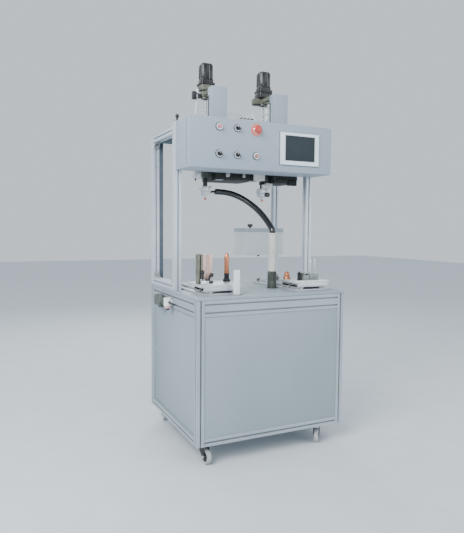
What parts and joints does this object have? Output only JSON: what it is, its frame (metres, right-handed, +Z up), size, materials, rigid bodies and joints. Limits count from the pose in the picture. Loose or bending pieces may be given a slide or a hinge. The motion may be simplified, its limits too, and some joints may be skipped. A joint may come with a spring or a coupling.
{
  "type": "two-head spot welder",
  "caption": "Castor-mounted two-head spot welder: cabinet of slotted profile, gantry with control box, servo-fed heads, shuttle stations and a hose-cased cable.",
  "frame": {"origin": "middle of the footprint, on the floor under the castors", "axes": "+Z up, front with the touch panel towards -Y, +X to the operator's right"},
  "size_m": [0.906, 0.75, 2.0943],
  "materials": {
    "profile": "clear anodised extruded aluminium, satin",
    "cabinet_panel": "grey painted aluminium sheet, satin",
    "table_plate": "grey coated aluminium tool plate, satin",
    "castor_black": "black coated pressed steel, semi-gloss",
    "castor_tread": "grey polyurethane, matt",
    "box_paint": "blue-grey powder coat with a fine texture",
    "panel_bezel": "silver-grey moulded bezel, satin",
    "red_plastic": "moulded red plastic, gloss",
    "black_plastic": "moulded black plastic, satin",
    "cast_grey": "olive-grey cast aluminium, matt",
    "motor_black": "black painted housing, satin",
    "machine_steel": "ground and plated machine steel",
    "copper": "chromium copper alloy, turned, slightly heat-stained",
    "cable_rubber": "black rubber hose, matt",
    "standpipe_paint": "pale grey-green enamel, satin"
  },
  "bodies": {
    "machine": {"cabinet_post_front_left": "profile", "cabinet_post_front_right": "profile", "cabinet_post_rear_left": "profile", "cabinet_post_rear_right": "profile", "top_rail_front": "profile", "top_rail_rear": "profile", "top_rail_left": "profile", "top_rail_right": "profile", "base_frame": "profile", "gantry_post_front_left": "profile", "gantry_post_front_right": "profile", "gantry_post_rear_left": "profile", "gantry_post_rear_right": "profile", "side_beam_left": "profile", "side_beam_right": "profile", "foot_beam_left": "profile", "front_panel": "cabinet_panel", "rear_panel": "cabinet_panel", "left_panel": "cabinet_panel", "right_panel": "cabinet_panel", "table_top": "table_plate", "control_box": "box_paint", "deck_plate": "box_paint", "axis_column_left": "box_paint", "axis_column_right": "box_paint", "weld_power_unit": "box_paint", "touch_panel": "panel_bezel", "motor_mount_left": "cast_grey", "motor_mount_right": "cast_grey", "air_service_unit": "cast_grey", "servo_motor_left": "motor_black", "servo_motor_right": "motor_black", "welding_transformer": "motor_black", "servo_drive_box": "motor_black", "ram_guide_left": "machine_steel", "ram_guide_right": "machine_steel", "station_base_left": "machine_steel", "station_base_right": "machine_steel", "welding_cable": "cable_rubber", "cable_standpipe": "standpipe_paint"},
    "weld_head_left": {"weld_head_left": "machine_steel"},
    "weld_head_right": {"weld_head_right": "machine_steel"},
    "shuttle_left": {"shuttle_left": "machine_steel", "lower_electrode_left": "copper"},
    "shuttle_right": {"shuttle_right": "machine_steel", "lower_electrode_right": "copper"},
    "castor_fork_front_left": {"castor_fork_front_left": "castor_black"},
    "castor_wheel_front_left": {"castor_wheel_front_left": "castor_tread"},
    "castor_fork_front_right": {"castor_fork_front_right": "castor_black"},
    "castor_wheel_front_right": {"castor_wheel_front_right": "castor_tread"},
    "castor_fork_rear_left": {"castor_fork_rear_left": "castor_black"},
    "castor_wheel_rear_left": {"castor_wheel_rear_left": "castor_tread"},
    "castor_fork_rear_right": {"castor_fork_rear_right": "castor_black"},
    "castor_wheel_rear_right": {"castor_wheel_rear_right": "castor_tread"},
    "start_button": {"start_button": "red_plastic"},
    "mode_selector": {"mode_selector": "black_plastic"},
    "emergency_stop": {"emergency_stop": "red_plastic"},
    "left_head_selector": {"left_head_selector": "black_plastic"},
    "right_head_selector": {"right_head_selector": "black_plastic"},
    "reset_button": {"reset_button": "red_plastic"}
  },
  "joints": [
    {"name": "head_feed_left", "type": "slide", "parent": "machine", "child": "weld_head_left", "axis": [0, 0, -1], "range_m": [0, 0.16]},
    {"name": "head_feed_right", "type": "slide", "parent": "machine", "child": "weld_head_right", "axis": [0, 0, -1], "range_m": [0, 0.16]},
    {"name": "shuttle_feed_left", "type": "slide", "parent": "machine", "child": "shuttle_left", "axis": [0, 1, 0], "range_m": [0, 0.3]},
    {"name": "shuttle_feed_right", "type": "slide", "parent": "machine", "child": "shuttle_right", "axis": [0, 1, 0], "range_m": [0, 0.3]},
    {"name": "castor_swivel_front_left", "type": "hinge", "parent": "machine", "child": "castor_fork_front_left", "pos_m": [-0.345, -0.305, 0.09], "axis": [0, 0, 1], "continuous": true},
    {"name": "castor_roll_front_left", "type": "hinge", "parent": "castor_fork_front_left", "child": "castor_wheel_front_left", "pos_m": [-0.34082, -0.33471, 0.0375], "axis": [0.9903, 0.1392, 0], "continuous": true},
    {"name": "castor_swivel_front_right", "type": "hinge", "parent": "machine", "child": "castor_fork_front_right", "pos_m": [0.341, -0.305, 0.09], "axis": [0, 0, 1], "continuous": true},
    {"name": "castor_roll_front_right", "type": "hinge", "parent": "castor_fork_front_right", "child": "castor_wheel_front_right", "pos_m": [0.32253, -0.32864, 0.0375], "axis": [0.788, -0.6157, 0], "continuous": true},
    {"name": "castor_swivel_rear_left", "type": "hinge", "parent": "machine", "child": "castor_fork_rear_left", "pos_m": [-0.345, 0.305, 0.09], "axis": [0, 0, 1], "continuous": true},
    {"name": "castor_roll_rear_left", "type": "hinge", "parent": "castor_fork_rear_left", "child": "castor_wheel_rear_left", "pos_m": [-0.33474, 0.33319, 0.0375], "axis": [-0.9397, 0.342, 0], "continuous": true},
    {"name": "castor_swivel_rear_right", "type": "hinge", "parent": "machine", "child": "castor_fork_rear_right", "pos_m": [0.341, 0.305, 0.09], "axis": [0, 0, 1], "continuous": true},
    {"name": "castor_roll_rear_right", "type": "hinge", "parent": "castor_fork_rear_right", "child": "castor_wheel_rear_right", "pos_m": [0.32832, 0.33219, 0.0375], "axis": [-0.9063, -0.4226, 0], "continuous": true},
    {"name": "start_button_press", "type": "slide", "parent": "machine", "child": "start_button", "axis": [0, 1, 0], "range_m": [0, 0.004], "stiffness_N_per_m": 600},
    {"name": "mode_selector_turn", "type": "hinge", "parent": "machine", "child": "mode_selector", "pos_m": [-0.135, -0.236, 1.686], "axis": [0, 1, 0], "range_deg": [0, 90]},
    {"name": "emergency_stop_press", "type": "slide", "parent": "machine", "child": "emergency_stop", "axis": [0, 1, 0], "range_m": [0, 0.006], "stiffness_N_per_m": 900},
    {"name": "left_head_selector_turn", "type": "hinge", "parent": "machine", "child": "left_head_selector", "pos_m": [-0.237, -0.236, 1.551], "axis": [0, 1, 0], "range_deg": [0, 90]},
    {"name": "right_head_selector_turn", "type": "hinge", "parent": "machine", "child": "right_head_selector", "pos_m": [-0.135, -0.236, 1.551], "axis": [0, 1, 0], "range_deg": [0, 90]},
    {"name": "reset_button_press", "type": "slide", "parent": "machine", "child": "reset_button", "axis": [0, 1, 0], "range_m": [0, 0.004], "stiffness_N_per_m": 600}
  ]
}
